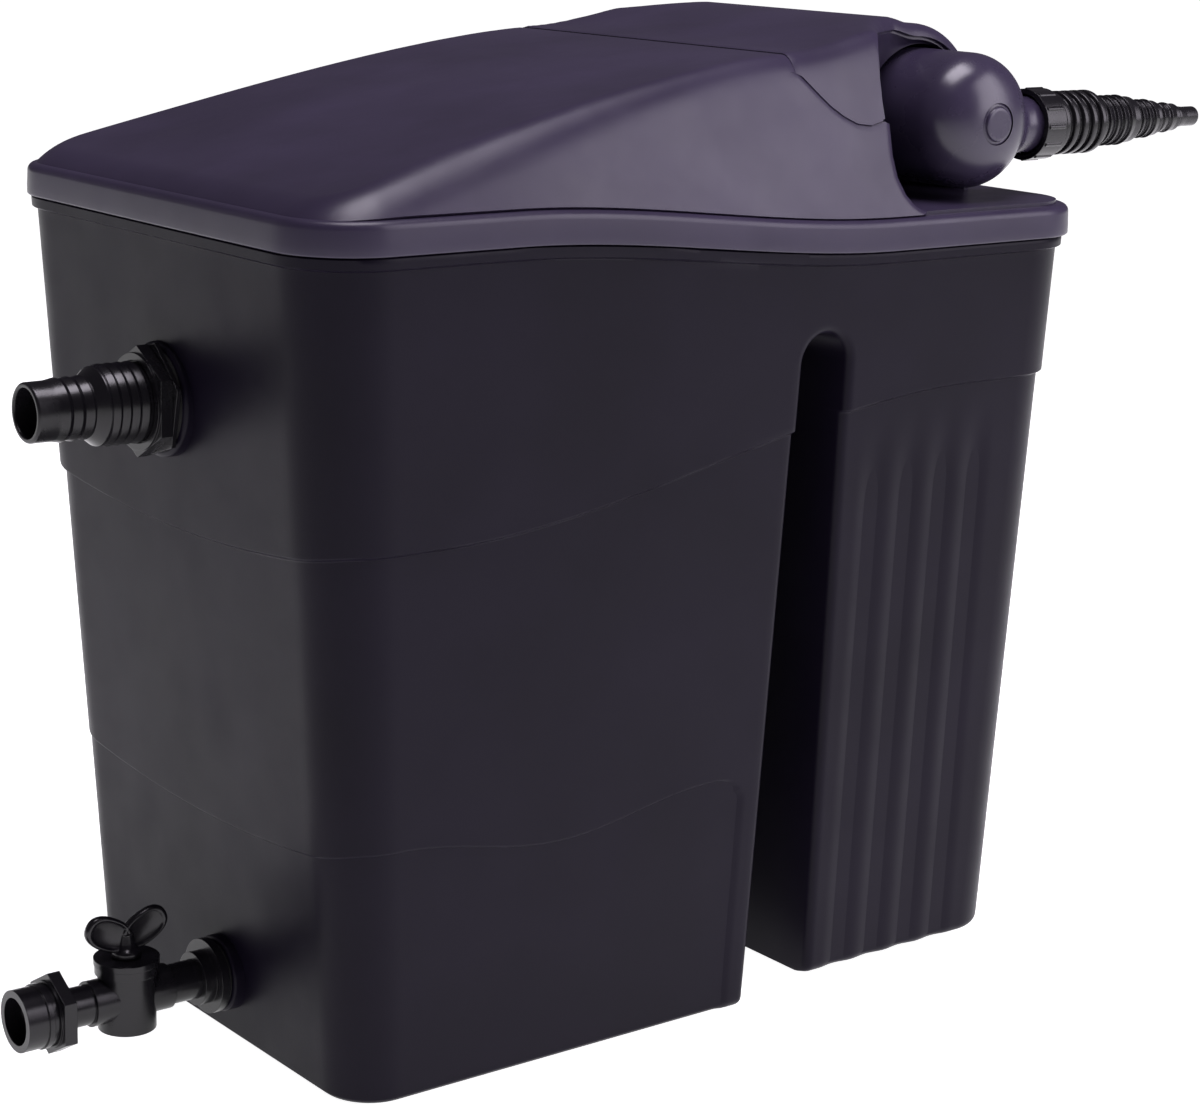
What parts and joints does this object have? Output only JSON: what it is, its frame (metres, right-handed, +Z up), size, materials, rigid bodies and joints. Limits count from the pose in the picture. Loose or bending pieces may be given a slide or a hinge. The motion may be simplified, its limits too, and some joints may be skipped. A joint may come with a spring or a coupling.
{
  "type": "flow-through pond filter",
  "caption": "Box-type flow-through pond filter: tapered two-legged tub, lift-off lid with UV clarifier and hose tail, side outlet and drain tap.",
  "frame": {"origin": "on the ground under the middle of the lid rim, on the underside of the main leg", "axes": "+X along the long side towards the clarifier's inlet, -Y towards the long front face, +Z up"},
  "size_m": [0.771, 0.334, 0.559],
  "materials": {
    "tub_black": "satin moulded polypropylene, fine grain",
    "lid_black": "satin moulded plastic, slightly lighter and cooler than the tub",
    "fitting_black": "semi-gloss injection-moulded plastic",
    "inner_black": "plain moulded plastic",
    "rubber_black": "soft rubber",
    "stainless": "stainless steel",
    "quartz": "clear quartz",
    "lamp_white": "lamp glass with a white base",
    "seat_white": "white sealing plastic",
    "foam_blue": "open-cell coarse foam",
    "foam_green": "open-cell medium foam",
    "foam_cream": "open-cell fine foam",
    "ceramic": "porous media rings",
    "bristle_green": "dense filter bristles"
  },
  "bodies": {
    "tub_unit": {"tub": "tub_black", "outlet_hose_tail": "fitting_black", "outlet_hex_nut": "fitting_black", "outlet_washer": "fitting_black", "outlet_gasket": "rubber_black", "outlet_inner_nut": "fitting_black", "outlet_screen": "inner_black", "drain_wall_flange": "fitting_black", "drain_gasket": "rubber_black", "drain_inner_nut": "fitting_black", "drain_valve_body": "fitting_black", "drain_seat_rings": "seat_white", "drain_bonnet_ring": "fitting_black", "drain_union_nut": "fitting_black", "drain_socket": "fitting_black", "media_grid": "inner_black", "foam_frames": "inner_black", "foam_coarse": "foam_blue", "foam_medium": "foam_green", "foam_fine": "foam_cream", "bio_rings": "ceramic", "brush_rail": "inner_black", "filter_brushes": "bristle_green", "brush_stems": "stainless"},
    "lid_unit": {"lid": "lid_black", "lid_seal": "rubber_black", "uv_housing": "lid_black", "uv_end_disc": "lid_black", "housing_screws": "stainless", "uv_spout": "inner_black", "spout_seal": "rubber_black", "inlet_seal_ring": "rubber_black", "inlet_union_nut": "fitting_black", "inlet_hose_tail": "fitting_black"},
    "cover_unit": {"uv_cover": "lid_black", "cover_screws": "stainless"},
    "lamp_unit": {"uv_quartz_sleeve": "quartz", "uv_lamp": "lamp_white", "uv_lamp_holder": "fitting_black", "uv_head_cap": "fitting_black", "uv_head_seal": "rubber_black", "uv_cable_gland": "rubber_black"},
    "lock_ring": {"uv_lock_ring": "lid_black"},
    "tap_key": {"drain_ball": "stainless", "drain_stem": "stainless", "drain_handle": "fitting_black", "drain_handle_screw": "stainless"}
  },
  "joints": [
    {"name": "lid_lift", "type": "slide", "parent": "tub_unit", "child": "lid_unit", "axis": [0, 0, 1], "range_m": [0, 0.12]},
    {"name": "cover_lift", "type": "slide", "parent": "lid_unit", "child": "cover_unit", "axis": [0, 0, 1], "range_m": [0, 0.12]},
    {"name": "lamp_withdraw", "type": "slide", "parent": "lid_unit", "child": "lamp_unit", "axis": [0, 1, 0], "range_m": [0, 0.22]},
    {"name": "lock_ring_turn", "type": "hinge", "parent": "lamp_unit", "child": "lock_ring", "pos_m": [0.2, 0.113, 0.505], "axis": [0, 1, 0], "range_deg": [0, 30]},
    {"name": "drain_tap_turn", "type": "hinge", "parent": "tub_unit", "child": "tap_key", "pos_m": [-0.297, -0.018, 0.04], "axis": [0, 0, 1], "range_deg": [0, 90]}
  ]
}
